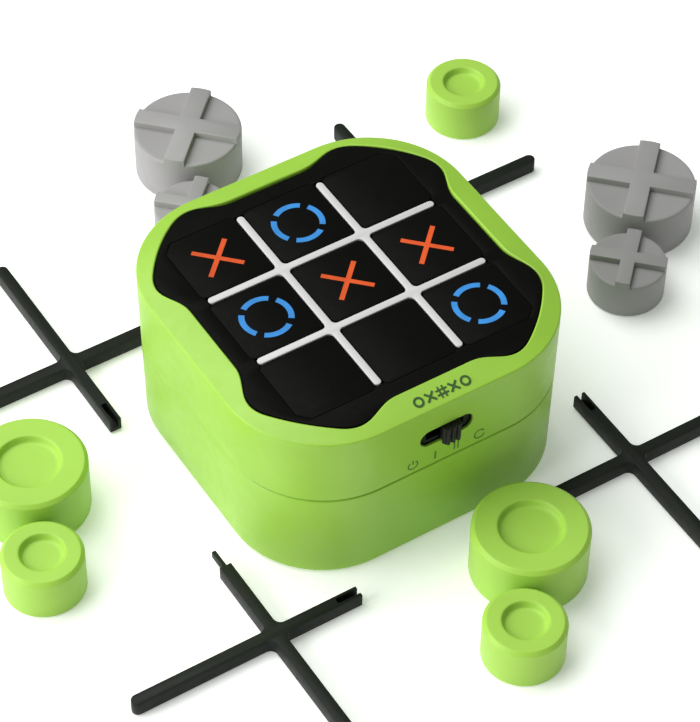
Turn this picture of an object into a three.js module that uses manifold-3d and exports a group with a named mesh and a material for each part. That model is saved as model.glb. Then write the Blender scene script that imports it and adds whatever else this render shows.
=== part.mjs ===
// A tabletop tic tac toe set: a palm-sized electronic console with nine lit keys,
// nine loose tokens in two sizes and four crosses that join into a playing grid.
// Millimetres, +Z up. The origin is the centre of the console's flat base.
// The console's front, with its slide switch, faces -Y.

import * as THREE from 'three';
import { mergeVertices } from 'three/addons/utils/BufferGeometryUtils.js';
import Module from 'manifold-3d';

const wasm = await Module();
wasm.setup();

// ---------------------------------------------------------------- driving dimensions

const GAP = 0.3; // clearance between two pieces that meet

const caseHeight = 47.6; // top of the green rim, at the panel's edge
const bandWidth = 6.2; // of the rim's top, from the panel's flat sides out to the wall
const bandDrop = 1.9; // how much lower the rim's outer edge lies
const caseHalfTop = 42.4; // half the case's width under the top edge
const caseHalfBase = 41.4; // half the case's width at the base
const caseCornerTop = 24.6; // plan radius of the corners under the top edge
const caseCornerBase = 23.4; // plan radius of the corners at the base
const caseTopEdge = 0.6; // rounding of the rim's outer edge
const caseBaseEdge = 1.2; // rounding of the base edge
const caseWall = 2.2;
const partingHeight = 26; // where the two case halves meet
const lipHeight = 1.6; // tongue of the lower half inside the upper half
const ceilingHeight = 45.3; // underside of the upper half's roof

const panelTop = 46.9; // top of the black panel and of the keys at rest
const panelBottom = 45;
const flangeBottom = 43.6; // the panel's flange, held under the roof
const flangeGrow = 1.04; // the flange's outline over the panel's own
const panelSteps = 3; // facets along each stretch of the panel's outline
const lobeRadius = 44.4; // the panel's corner lobes, about the console's axis

const gridPitch = 21.76; // from one cell's centre to the next
const lineWidth = 1.95;
const lineHalfLength = 30.6;
const lineFlare = 1.6; // concave radius where two lines cross
const lineTop = 47;
const lineBottom = 46.25;

const keyHalf = 9.6;
const keyTravel = 0.8;
const keyFlange = 0.7; // the retaining flange's reach past the key
const keyFlangeTop = panelBottom - GAP;
const keyBottom = 43.9;
const keyClipRadius = 42.6; // the corner keys end on this circle
const plungerPlace = 7.4; // the plunger's offset from the cell's centre
const plungerBottom = 40.9;

const guideTop = keyBottom - GAP;
const guideBottom = 41;
const guideBase = 0.8; // thickness of the plate that joins the marks
const crossMarkReach = 6.7; // centre to tip of the X mark
const markWidth = 1.25;
const ringMarkOuter = 6.6;
const ringMarkGap = THREE.MathUtils.degToRad(20);

const boardTop = 38;
const boardThickness = 1.6;
const boardHalf = 33;
const boardRadius = 40;
const tactTop = 39.8;
const baffleTop = 42.6;
const baffleWall = 1.2;

const bossDistance = 31.4; // the case screws' x and y
const bossRadius = 3.2;
const bossTop = 42.8; // clear of the pressed corner keys
const screwSeat = 20; // height of the shoulder under which a screw head sits

const slotHalfLength = 7.05; // the switch's window in the front wall
const slotHalfHeight = 2.45;
const slotHeight = 35.85; // height of the window's centre
const slotWall = 0.9; // what is left of the wall where the switch plate is let in
const switchPitch = 1.95; // between two of the four switch positions
const knobWidth = 5; // where it passes through the window
const knobHeight = 4.3;
const knobRise = 1.5; // how far the knob stands out of the wall
const knobPadDrop = 1; // how far the thumb pad hangs below the window part
const knobSlope = 0.4; // how much narrower its face is, on each side
const knobPlace = switchPitch / 2; // the third of four positions
const switchPlateHalfX = 9.5;
const switchPlateHalfHeight = 5.4;
const frontFace = -caseHalfTop;

const bayCentreY = -7.5; // the battery bay sits towards the front
const cellRadius = 5.25;
const cellLength = 44.5;
const cellSpacing = 10.9;
const cellHeight = 7.5; // height of the cells' axes
const bayHalfX = 24.8;
const bayHalfY = 16.9;
const bayRoof = 13.3;
const bayWall = 1.6;
const doorThickness = 2;
const doorHalfX = 26.2;
const doorHalfY = 18.9;
const doorEarRadius = 3.4;
const doorScrewY = bayCentreY + doorHalfY + 1.6;
const hingeRadius = doorThickness / 2; // the door's round front edge turns on two short pins
const hingeY = bayCentreY - doorHalfY + hingeRadius;
const hingePinRadius = 0.45;
const hingePinReach = 1;

const speakerRadius = 9.5;
const speakerY = 28.4;

const largeToken = { radius: 13.85, height: 14.8, hollowRadius: 10.9, hollowDepth: 12.1, steps: 22 };
const smallToken = { radius: 9.7, height: 11.8, hollowRadius: 7.7, hollowDepth: 8.6, steps: 18 };
const tokenRecess = 1.2; // depth of the round recess in an O token
const tokenRise = 1.7; // height of the raised X on an X token

const stickWidth = 3;
const stickHeight = 4;
const stickOuter = 37.1; // a cross's two outer arms
const stickInner = 22.2; // its two joining arms, up to the shoulder
const stickFlare = 1.8;
const tabLength = 5.4;
const tabWidth = 1.1;
const forkSlot = 1.5;

// ---------------------------------------------------------------- materials

function plastic(color, roughness, metalness = 0) {
  return new THREE.MeshStandardMaterial({ color, roughness, metalness });
}

const greenPlastic = plastic(0x93cc3e, 0.42);
const blackPlastic = plastic(0x191919, 0.35);
const whitePlastic = plastic(0xe2e2e2, 0.5);
const darkPlastic = plastic(0x2a2c2a, 0.5);
const greyPlastic = plastic(0x9a9b98, 0.5);
const clearPlastic = plastic(0xdfe8ee, 0.2);
const boardGreen = plastic(0x1f5a35, 0.6);
const steel = plastic(0xb9bcc0, 0.35, 1);
const cellJacket = plastic(0x3b4a5c, 0.4);

// ---------------------------------------------------------------- solids and shapes

function toSolid(geometry) {
  const bare = geometry.clone();
  bare.deleteAttribute('normal');
  bare.deleteAttribute('uv');
  const merged = mergeVertices(bare, 1e-4);
  const vertProperties = Float32Array.from(merged.attributes.position.array);
  const triVerts = Uint32Array.from(merged.index.array);
  return new wasm.Manifold(new wasm.Mesh({ numProp: 3, vertProperties, triVerts }));
}

function toGeometry(solid) {
  const mesh = solid.getMesh();
  const geometry = new THREE.BufferGeometry();
  geometry.setAttribute('position', new THREE.BufferAttribute(mesh.vertProperties, 3));
  geometry.setIndex(new THREE.BufferAttribute(mesh.triVerts, 1));
  return geometry;
}

function join(solids) {
  return solids.reduce((whole, piece) => whole.add(piece));
}

function cut(solid, tools) {
  return tools.reduce((rest, tool) => rest.subtract(tool), solid);
}

function box(x0, x1, y0, y1, z0, z1) {
  const geometry = new THREE.BoxGeometry(x1 - x0, y1 - y0, z1 - z0);
  geometry.translate((x0 + x1) / 2, (y0 + y1) / 2, (z0 + z1) / 2);
  return toSolid(geometry);
}

function post(x, y, radius, z0, z1, sides = 14, topRadius = radius) {
  const geometry = new THREE.CylinderGeometry(topRadius, radius, z1 - z0, sides);
  geometry.rotateX(Math.PI / 2);
  geometry.translate(x, y, (z0 + z1) / 2);
  return toSolid(geometry);
}

// A round bar along X.
function rod(x0, x1, y, z, radius, sides) {
  return post(0, 0, radius, x0, x1, sides).rotate([0, 90, 0]).translate([0, y, z]);
}

function prism(shape, z0, z1, curveSegments = 4) {
  const geometry = new THREE.ExtrudeGeometry(shape, { depth: z1 - z0, bevelEnabled: false, curveSegments });
  geometry.translate(0, 0, z0);
  return toSolid(geometry);
}

function roundedRectangle(x0, x1, y0, y1, radius) {
  const shape = new THREE.Shape();
  shape.absarc(x1 - radius, y0 + radius, radius, -Math.PI / 2, 0);
  shape.absarc(x1 - radius, y1 - radius, radius, 0, Math.PI / 2);
  shape.absarc(x0 + radius, y1 - radius, radius, Math.PI / 2, Math.PI);
  shape.absarc(x0 + radius, y0 + radius, radius, Math.PI, Math.PI * 1.5);
  return shape;
}

// A bar along X with round ends.
function barShape(halfLength, width) {
  const radius = width / 2;
  const shape = new THREE.Shape();
  shape.absarc(halfLength - radius, 0, radius, -Math.PI / 2, Math.PI / 2);
  shape.absarc(radius - halfLength, 0, radius, Math.PI / 2, Math.PI * 1.5);
  return shape;
}

// The four concave fillets where two bars of one width cross.
function flareShape(halfWidth, radius) {
  const shape = new THREE.Shape();
  const centre = halfWidth + radius;
  for (let quarter = 0; quarter < 4; quarter++) {
    const turn = (quarter * Math.PI) / 2;
    const x = centre * (Math.cos(turn) - Math.sin(turn));
    const y = centre * (Math.sin(turn) + Math.cos(turn));
    shape.absarc(x, y, radius, turn - Math.PI / 2, turn - Math.PI, true);
  }
  return shape;
}

// A closed surface through rounded-square rings stacked along Z.
function loft(levels) {
  const cornerSteps = 6;
  const positions = [];
  const index = [];
  const ringSize = 4 * (cornerSteps + 1);
  for (const { z, half, radius } of levels) {
    for (let corner = 0; corner < 4; corner++) {
      const middle = Math.PI / 4 + (corner * Math.PI) / 2;
      const x = Math.SQRT2 * (half - radius) * Math.cos(middle);
      const y = Math.SQRT2 * (half - radius) * Math.sin(middle);
      for (let step = 0; step <= cornerSteps; step++) {
        const angle = middle + (step / cornerSteps - 0.5) * (Math.PI / 2);
        positions.push(x + radius * Math.cos(angle), y + radius * Math.sin(angle), z);
      }
    }
  }
  const lowCentre = positions.length / 3;
  positions.push(0, 0, levels[0].z);
  positions.push(0, 0, levels[levels.length - 1].z);
  for (let point = 0; point < ringSize; point++) {
    const next = (point + 1) % ringSize;
    for (let level = 0; level < levels.length - 1; level++) {
      const low = level * ringSize;
      const high = low + ringSize;
      index.push(low + point, low + next, high + next, low + point, high + next, high + point);
    }
    const top = (levels.length - 1) * ringSize;
    index.push(lowCentre, next, point, lowCentre + 1, top + point, top + next);
  }
  const geometry = new THREE.BufferGeometry();
  geometry.setAttribute('position', new THREE.Float32BufferAttribute(positions, 3));
  geometry.setIndex(index);
  return toSolid(geometry);
}

// ---------------------------------------------------------------- case outlines

// The case's outline at a height: a rounded square that grows a little upwards.
function caseRing(z, inset) {
  const share = z / caseHeight;
  const half = THREE.MathUtils.lerp(caseHalfBase, caseHalfTop, share) - inset;
  const radius = THREE.MathUtils.lerp(caseCornerBase, caseCornerTop, share) - inset;
  return { z, half, radius };
}

function caseBody(z0, z1, inset = 0) {
  return loft([caseRing(z0, inset), caseRing(z1, inset)]);
}

// Rings over a quarter-round edge, from its flat (at z) to the side (edge further on).
function edgeRings(z, direction, edge) {
  const steps = 3;
  const rings = [];
  for (let step = 0; step <= steps; step++) {
    const angle = (step / steps) * (Math.PI / 2);
    const height = z + direction * edge * (1 - Math.cos(angle));
    rings.push(caseRing(height, edge * (1 - Math.sin(angle))));
  }
  return rings;
}

// The black panel's outline: flat sides that swell into four lobes.
function panelShape(scale) {
  const flatX = 35.5;
  const flatY = 9.7;
  const shoulder = new THREE.Vector2(38.07, 18.03);
  const lobeAngle = THREE.MathUtils.degToRad(34);
  const shape = new THREE.Shape();
  for (let side = 0; side < 4; side++) {
    const turn = (side * Math.PI) / 2;
    const at = (x, y) => new THREE.Vector2(x, y).rotateAround(new THREE.Vector2(), turn).multiplyScalar(scale);
    const bend = (...points) => points.flatMap((point) => [point.x, point.y]);
    const start = at(shoulder.x, -shoulder.y);
    if (side === 0) {
      shape.moveTo(start.x, start.y);
    }
    shape.bezierCurveTo(...bend(at(37.35, -15.53), at(flatX, -12.9), at(flatX, -flatY)));
    shape.lineTo(...bend(at(flatX, flatY)));
    shape.bezierCurveTo(...bend(at(flatX, 12.9), at(37.35, 15.53), at(shoulder.x, shoulder.y)));
    const lobeX = lobeRadius * Math.cos(lobeAngle);
    const lobeY = lobeRadius * Math.sin(lobeAngle);
    shape.quadraticCurveTo(...bend(at(39.05, 21.45), at(lobeX, lobeY)));
    shape.absarc(0, 0, lobeRadius * scale, turn + lobeAngle, turn + Math.PI / 2 - lobeAngle);
    shape.quadraticCurveTo(...bend(at(21.45, 39.05), at(shoulder.y, shoulder.x)));
  }
  return shape;
}

function windowCut(y0, y1) {
  const solid = prism(barShape(slotHalfLength, 2 * slotHalfHeight), y0, y1, 5);
  return solid.rotate([90, 0, 0]).mirror([0, 1, 0]).translate([0, 0, slotHeight]);
}

const corners = [[1, 1], [-1, 1], [-1, -1], [1, -1]];

// ---------------------------------------------------------------- console: case and panel

function topShell() {
  const outer = loft([
    caseRing(partingHeight + GAP / 2, 0),
    ...edgeRings(caseHeight - bandDrop, -1, caseTopEdge).reverse(),
    caseRing(caseHeight, bandWidth),
  ]);
  const inner = caseBody(partingHeight - 1, ceilingHeight, caseWall);
  const lipRoom = caseBody(partingHeight - 1, partingHeight + lipHeight + GAP, caseWall / 2 - GAP / 2);
  const opening = prism(panelShape(1 + GAP / lobeRadius), ceilingHeight - 1, caseHeight + 1, panelSteps);
  const switchWindow = windowCut(frontFace - 1, frontFace + caseWall + 1);
  const plateX = switchPlateHalfX + GAP;
  const plateZ = switchPlateHalfHeight + GAP;
  const platePocket = box(
    -plateX, plateX, frontFace + slotWall, frontFace + caseWall + 1, slotHeight - plateZ, slotHeight + plateZ,
  );
  let shell = cut(outer, [inner, lipRoom, opening, switchWindow, platePocket]);
  for (const [sx, sy] of corners) {
    const x = sx * bossDistance;
    const y = sy * bossDistance;
    const room = caseBody(partingHeight + lipHeight + GAP, bossTop + 1, 1);
    const boss = post(x, y, bossRadius, partingHeight + lipHeight + GAP, bossTop).intersect(room);
    shell = shell.add(boss);
    shell = shell.subtract(post(x, y, 1.4, partingHeight, 36, 10));
  }
  return shell;
}

// The seat that the battery door closes on, the walls round the cells and the door screw's boss.
function bayBlock() {
  const seatX = bayHalfX + bayWall + 1.7;
  const seatFront = bayCentreY - doorHalfY - GAP - 2;
  const seatBack = doorScrewY + doorEarRadius + 1.2;
  const wallX = bayHalfX + bayWall;
  const wallY = bayHalfY + bayWall;
  return join([
    box(-seatX, seatX, seatFront, seatBack, 0.2, 4),
    box(-wallX, wallX, bayCentreY - wallY, bayCentreY + wallY, 0.2, bayRoof + bayWall),
    post(0, doorScrewY, 3, 3, 9.5),
  ]);
}

function bottomShell() {
  const outer = loft([...edgeRings(0, 1, caseBaseEdge), caseRing(partingHeight - GAP / 2, 0)]);
  const floorTop = 2.2;
  const inner = caseBody(floorTop, partingHeight + 1, caseWall);
  const lipLow = partingHeight - 1;
  const lipHigh = partingHeight + lipHeight;
  const lip = caseBody(lipLow, lipHigh, caseWall / 2 + GAP / 2).subtract(caseBody(lipLow - 1, lipHigh + 1, caseWall));
  let shell = outer.subtract(inner).add(lip).add(bayBlock());
  for (const [sx, sy] of corners) {
    const x = sx * bossDistance;
    const y = sy * bossDistance;
    const boss = post(x, y, bossRadius + 0.3, 1, partingHeight + lipHeight);
    shell = shell.add(boss.intersect(caseBody(0.5, partingHeight + lipHeight, caseWall / 2 + GAP / 2)));
    shell = shell.subtract(post(x, y, 2.6, -1, screwSeat));
    shell = shell.subtract(post(x, y, 1.4, screwSeat - 1, partingHeight + lipHeight + 1, 10));
  }
  const bay = box(-bayHalfX, bayHalfX, bayCentreY - bayHalfY, bayCentreY + bayHalfY, -1, bayRoof);
  const doorSeat = join(doorPlan(GAP, hingeY - hingeRadius - GAP, -1, doorThickness + GAP));
  const socketX = doorHalfX + hingePinReach + GAP;
  const hingeSockets = rod(-socketX, socketX, hingeY, hingeRadius, hingePinRadius + GAP, 12);
  const screwHole = post(0, doorScrewY, 1.7, 0, 8.5, 12);
  return cut(shell, [bay, doorSeat, hingeSockets, screwHole, ...soundHoles()]);
}

function soundHoles() {
  const holes = [post(0, speakerY, 0.9, -1, 3, 6)];
  for (let hole = 0; hole < 6; hole++) {
    const angle = (hole * Math.PI) / 3;
    holes.push(post(4 * Math.cos(angle), speakerY + 4 * Math.sin(angle), 0.9, -1, 3, 6));
  }
  return holes;
}

// The battery door's plate, square at its front edge, and its screw ear, grown by a clearance.
function doorPlan(grow, front, z0, z1) {
  const side = doorHalfX + grow;
  const back = bayCentreY + doorHalfY + grow;
  const plate = prism(roundedRectangle(-side, side, front, back, 2), z0, z1, 1);
  const squareFront = box(-side, side, front, front + 3, z0, z1);
  return [plate, squareFront, post(0, doorScrewY, doorEarRadius + grow, z0, z1)];
}

function batteryDoor() {
  const pinX = doorHalfX + hingePinReach;
  const barrel = rod(-doorHalfX, doorHalfX, hingeY, hingeRadius, hingeRadius, 16);
  const pins = rod(-pinX, pinX, hingeY, hingeRadius, hingePinRadius, 12);
  const grips = [-1, 0, 1].map((step) => {
    const y = bayCentreY + 11 + step * 2;
    return box(-5, 5, y - 0.4, y + 0.4, -1, 0.5);
  });
  const door = join([...doorPlan(0, hingeY, 0, doorThickness), barrel, pins]);
  return cut(door, [...grips, post(0, doorScrewY, 2.2, -1, 1.05), post(0, doorScrewY, 1.3, 0.5, 3)]);
}

function screw(x, y, headBottom, headRadius, headHeight, shaftLength) {
  const headTop = headBottom + headHeight;
  const head = post(x, y, headRadius, headBottom, headTop, 16);
  const shaft = post(x, y, headRadius / 2, headTop - 0.2, headTop + shaftLength, 10);
  const slotWidth = headRadius * 0.22;
  const reach = headRadius * 0.6;
  const recessTop = headBottom + headHeight / 2;
  return cut(head.add(shaft), [
    box(x - reach, x + reach, y - slotWidth, y + slotWidth, headBottom - 1, recessTop),
    box(x - slotWidth, x + slotWidth, y - reach, y + reach, headBottom - 1, recessTop),
  ]);
}

// One key's plan as a solid: a square with round corners, and the outermost ones end on a circle.
function keyPlan(column, row, half, corner, clip, z0, z1) {
  const x = column * gridPitch;
  const y = row * gridPitch;
  const block = prism(roundedRectangle(x - half, x + half, y - half, y + half, corner), z0, z1, 1);
  return column && row ? block.intersect(post(0, 0, clip, z0 - 1, z1 + 1, 72)) : block;
}

const cells = [];
for (const row of [1, 0, -1]) {
  for (const column of [-1, 0, 1]) {
    cells.push([column, row]);
  }
}

function gridBars(halfLength, width, flare, z0, z1) {
  const bars = [];
  const across = barShape(halfLength, width);
  for (const side of [-0.5, 0.5]) {
    bars.push(prism(across, z0, z1, 2).translate([0, side * gridPitch, 0]));
    bars.push(prism(across, z0, z1, 2).rotate([0, 0, 90]).translate([side * gridPitch, 0, 0]));
    for (const other of [-0.5, 0.5]) {
      const fillets = prism(flareShape(width / 2, flare), z0, z1, 1);
      bars.push(fillets.translate([side * gridPitch, other * gridPitch, 0]));
    }
  }
  return join(bars);
}

function panel() {
  const plate = prism(panelShape(1), panelBottom, panelTop, panelSteps);
  const flangeRoom = caseBody(flangeBottom, panelBottom, caseWall + GAP);
  const flange = prism(panelShape(flangeGrow), flangeBottom, panelBottom, panelSteps).intersect(flangeRoom);
  const keyRoom = 3 * gridPitch / 2;
  const well = prism(roundedRectangle(-keyRoom, keyRoom, -keyRoom, keyRoom, 6), flangeBottom - 1, panelBottom);
  const apertures = cells.map(([column, row]) => {
    return keyPlan(column, row, keyHalf + GAP, lineFlare + GAP, keyClipRadius + GAP, flangeBottom - 1, panelTop + 1);
  });
  return cut(plate.add(flange), [well, ...apertures, ...gridGrooves()]);
}

// The white grid lies in these cuts, which lower the ribs between the keys.
function gridGrooves() {
  const reach = lineHalfLength + GAP;
  const half = lineWidth / 2 + GAP;
  const crossing = lineWidth / 2 + lineFlare + GAP;
  const low = lineBottom - GAP;
  const high = panelTop + 1;
  const grooves = [];
  for (const side of [-gridPitch / 2, gridPitch / 2]) {
    grooves.push(box(-reach, reach, side - half, side + half, low, high));
    grooves.push(box(side - half, side + half, -reach, reach, low, high));
    for (const other of [-gridPitch / 2, gridPitch / 2]) {
      grooves.push(box(side - crossing, side + crossing, other - crossing, other + crossing, low, high));
    }
  }
  return grooves;
}

function keyCap(column, row) {
  const cap = keyPlan(column, row, keyHalf, lineFlare, keyClipRadius, keyBottom, panelTop);
  const flangeClip = keyClipRadius + 0.2;
  const flange = keyPlan(column, row, keyHalf + keyFlange, lineFlare, flangeClip, keyBottom, keyFlangeTop);
  const x = column * gridPitch + (column > 0 ? -1 : 1) * plungerPlace;
  const y = row * gridPitch + (row > 0 ? -1 : 1) * plungerPlace;
  return join([cap, flange, box(x - 1.2, x + 1.2, y - 1.2, y + 1.2, plungerBottom, keyBottom + 0.5)]);
}

// The clear piece under a key: an X and four arcs of an O, standing on one plate.
function lightGuide(column, row) {
  const pieces = [post(0, 0, ringMarkOuter + 0.5, guideBottom, guideBottom + guideBase, 12)];
  const low = guideBottom + guideBase / 2;
  const bar = box(-crossMarkReach, crossMarkReach, -markWidth / 2, markWidth / 2, low, guideTop);
  pieces.push(bar.rotate([0, 0, 45]), bar.rotate([0, 0, -45]));
  const ringMarkInner = ringMarkOuter - markWidth;
  for (let quarter = 0; quarter < 4; quarter++) {
    const from = (quarter * Math.PI) / 2 - Math.PI / 4 + ringMarkGap / 2;
    const to = from + Math.PI / 2 - ringMarkGap;
    const arc = new THREE.Shape();
    arc.absarc(0, 0, ringMarkOuter, from, to);
    arc.absarc(0, 0, ringMarkInner, to, from, true);
    pieces.push(prism(arc, low, guideTop, 1));
  }
  return join(pieces).translate([column * gridPitch, row * gridPitch, 0]);
}

// ---------------------------------------------------------------- console: inside

function boardPlan(half, radius, z0, z1) {
  return box(-half, half, -half, half, z0, z1).intersect(post(0, 0, radius, z0 - 1, z1 + 1, 32));
}

// The board with the lamps and the tactile switch of every key soldered on.
function mainBoard() {
  const pieces = [boardPlan(boardHalf, boardRadius, boardTop - boardThickness, boardTop)];
  for (const [column, row] of cells) {
    const x = column * gridPitch;
    const y = row * gridPitch;
    const tactX = x + (column > 0 ? -1 : 1) * plungerPlace;
    const tactY = y + (row > 0 ? -1 : 1) * plungerPlace;
    pieces.push(box(tactX - 1.9, tactX + 1.9, tactY - 1.9, tactY + 1.9, boardTop - 0.5, tactTop));
    for (const lamp of [-5.8, 0, 5.8]) {
      pieces.push(box(x + lamp - 1, x + lamp + 1, y - 1, y + 1, boardTop - 0.5, boardTop + 0.8));
    }
  }
  return join(pieces);
}

// The white frame that keeps each cell's light to itself.
function lightBaffle() {
  const low = boardTop + GAP;
  const half = 1.5 * gridPitch;
  const wellHalf = gridPitch / 2 - baffleWall / 2;
  const frame = boardPlan(half + baffleWall / 2, boardRadius + 0.6, low, baffleTop);
  const clip = post(0, 0, boardRadius - baffleWall, low - 1, baffleTop + 1, 32);
  const wells = cells.map(([column, row]) => {
    const x = column * gridPitch;
    const y = row * gridPitch;
    return box(x - wellHalf, x + wellHalf, y - wellHalf, y + wellHalf, low - 1, baffleTop + 1).intersect(clip);
  });
  return cut(frame, wells);
}

const plateThickness = 1;
const plateFront = frontFace + slotWall + GAP;
const switchFront = frontFace + caseWall + GAP + 0.2; // the slide switch's face, behind the wall
const knobStem = 1; // half the stem's width

function switchPlate() {
  const z0 = slotHeight - switchPlateHalfHeight;
  const z1 = slotHeight + switchPlateHalfHeight;
  const plate = box(-switchPlateHalfX, switchPlateHalfX, plateFront, plateFront + plateThickness, z0, z1);
  return plate.subtract(box(-5, 5, plateFront - 1, plateFront + 2, slotHeight - 1.4, slotHeight + 1.4));
}

// It stands in front of the main board's edge, on a foot under the board.
function slideSwitch() {
  const body = box(-9, 9, switchFront, switchFront + 4.7, 32.3, boardTop);
  const foot = box(-9, 9, switchFront + 4, switchFront + 8, 34.2, boardTop - boardThickness - GAP);
  const channel = box(-5.5, 5.5, switchFront - 1, switchFront + 2, slotHeight - 1.4, slotHeight + 1.4);
  return body.add(foot).subtract(channel);
}

// A core that fits the window, a stem through the plate, and a fluted thumb pad outside the wall.
function switchKnob() {
  const faceY = frontFace - knobRise;
  const padY = frontFace - GAP;
  const backY = plateFront - GAP;
  const low = slotHeight - knobHeight / 2;
  const high = slotHeight + knobHeight / 2;
  const half = knobWidth / 2;
  const core = box(knobPlace - half, knobPlace + half, padY - 0.3, backY, low, high);
  const shape = new THREE.Shape();
  shape.moveTo(-half, -padY);
  shape.lineTo(half, -padY);
  shape.lineTo(half - knobSlope, -faceY);
  shape.lineTo(knobSlope - half, -faceY);
  const pad = prism(shape, low - knobPadDrop, high).mirror([0, 1, 0]).translate([knobPlace, 0, 0]);
  const stem = box(
    knobPlace - knobStem, knobPlace + knobStem, backY - 0.5, switchFront + 1.4,
    slotHeight - knobStem, slotHeight + knobStem,
  );
  const flutes = [-1, 0, 1].map((step) => {
    const x = knobPlace + step * 1.2;
    return box(x - 0.25, x + 0.25, faceY - 1, faceY + 0.5, low - knobPadDrop - 1, high + 1);
  });
  return cut(join([core, pad, stem]), flutes);
}

function speaker() {
  const frame = post(0, speakerY, speakerRadius, 2.5, 4, 18);
  const cup = post(0, speakerY, speakerRadius, 3.8, 5.6, 18, speakerRadius * 0.6);
  return join([frame, cup, post(0, speakerY, speakerRadius * 0.45, 5.4, 7.6, 12)]);
}

function cell(step) {
  const flip = step === 0 ? -1 : 1;
  const cap = 1;
  const half = cellLength / 2;
  const can = post(0, 0, cellRadius, -half, half - cap, 20);
  const nub = post(0, 0, 1.9, half - cap - 0.3, half, 12);
  const y = bayCentreY + step * cellSpacing;
  return can.add(nub).rotate([0, 90 * flip, 0]).translate([0, y, cellHeight]);
}

function batteryContact(side) {
  const plateX = cellLength / 2 + 1.9;
  const half = bayHalfY - GAP;
  const pieces = [box(plateX, plateX + 0.35, bayCentreY - half, bayCentreY + half, 3, 12)];
  for (const step of [-1, 0, 1]) {
    const spring = post(0, 0, 3, 0, 1.7, 12, 1.8).rotate([0, -90, 0]);
    pieces.push(spring.translate([plateX + 0.1, bayCentreY + step * cellSpacing, cellHeight]));
  }
  const contact = join(pieces);
  return side < 0 ? contact.mirror([1, 0, 0]) : contact;
}

// ---------------------------------------------------------------- loose pieces

// A token's half section, turned about Z: straight side, rounded step under the top, hollow below.
function tokenBody(size, topHeight, recess) {
  const { radius, hollowRadius, hollowDepth, steps } = size;
  const profile = [
    [0, hollowDepth],
    [hollowRadius - 0.3, hollowDepth],
    [hollowRadius, 0],
    [radius, 0],
    [radius, topHeight - 1.4],
    [radius - 0.9, topHeight - 0.6],
    [radius - 1.4, topHeight],
  ];
  if (recess) {
    profile.push([radius * 0.56, topHeight]);
    profile.push([radius * 0.5, topHeight - recess]);
  }
  profile.push([0, topHeight - recess]);
  const points = profile.map(([r, z]) => new THREE.Vector2(r, z));
  const lathe = new THREE.LatheGeometry(points, steps);
  lathe.rotateX(Math.PI / 2);
  return toSolid(lathe);
}

function ringToken(size) {
  return tokenBody(size, size.height, tokenRecess);
}

function crossToken(size) {
  const deck = size.height - tokenRise;
  const halfWidth = size.radius * 0.19;
  const reach = size.radius + 1;
  const bar = box(-reach, reach, -halfWidth, halfWidth, deck - 0.5, size.height);
  const within = post(0, 0, size.radius - 0.35, 0, size.height + 1, size.steps);
  const cross = bar.rotate([0, 0, 45]).add(bar.rotate([0, 0, -45])).intersect(within);
  return tokenBody(size, deck, 0).add(cross);
}

// One of four equal crosses: two plain outer arms, a forked arm and a tabbed arm that join up.
function gridCross() {
  const half = stickWidth / 2;
  const outerMiddle = (half - stickOuter) / 2;
  const outerBar = prism(barShape((stickOuter + half) / 2, stickWidth), 0, stickHeight, 2);
  const innerBar = box(0, stickInner, -half, half, 0, stickHeight);
  const pieces = [
    outerBar.translate([outerMiddle, 0, 0]),
    outerBar.translate([outerMiddle, 0, 0]).rotate([0, 0, 90]),
    innerBar,
    innerBar.rotate([0, 0, 90]),
    prism(flareShape(half, stickFlare), 0, stickHeight, 2),
    box(-tabWidth / 2, tabWidth / 2, stickInner - 0.5, stickInner + tabLength, 1.4, 3.4),
  ];
  const slot = box(stickInner - tabLength - 0.6, stickInner + 1, -forkSlot / 2, forkSlot / 2, 1.1, stickHeight + 1);
  return join(pieces).subtract(slot);
}

// ---------------------------------------------------------------- the set

const group = new THREE.Group();

function place(name, solid, material, parent = group) {
  const mesh = new THREE.Mesh(toGeometry(solid), material);
  mesh.name = name;
  parent.add(mesh);
  return mesh;
}

place('top_shell', topShell(), greenPlastic);
place('bottom_shell', bottomShell(), greenPlastic);
place('panel', panel(), blackPlastic);
place('grid_insert', gridBars(lineHalfLength, lineWidth, lineFlare, lineBottom, lineTop), whitePlastic);

cells.forEach(([column, row], number) => {
  place(`key_cap_${number + 1}`, keyCap(column, row), blackPlastic);
  place(`light_guide_${number + 1}`, lightGuide(column, row), clearPlastic);
});

place('light_baffle', lightBaffle(), whitePlastic);
place('main_board', mainBoard(), boardGreen);
place('switch_plate', switchPlate(), blackPlastic);
place('slide_switch', slideSwitch(), steel);
place('switch_knob', switchKnob(), blackPlastic);
place('speaker', speaker(), darkPlastic);
place('battery_door', batteryDoor(), greenPlastic);
place('door_screw', screw(0, doorScrewY, 0.1, 1.9, 0.7, 4), steel);
[-1, 0, 1].forEach((step, number) => place(`cell_${number + 1}`, cell(step), cellJacket));
place('contacts_left', batteryContact(-1), steel);
place('contacts_right', batteryContact(1), steel);
corners.forEach(([sx, sy], number) => {
  const headHeight = 1.6;
  const low = screwSeat - GAP - headHeight;
  const solid = screw(sx * bossDistance, sy * bossDistance, low, 2.3, headHeight, 14);
  place(`case_screw_${number + 1}`, solid, steel);
});

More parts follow.
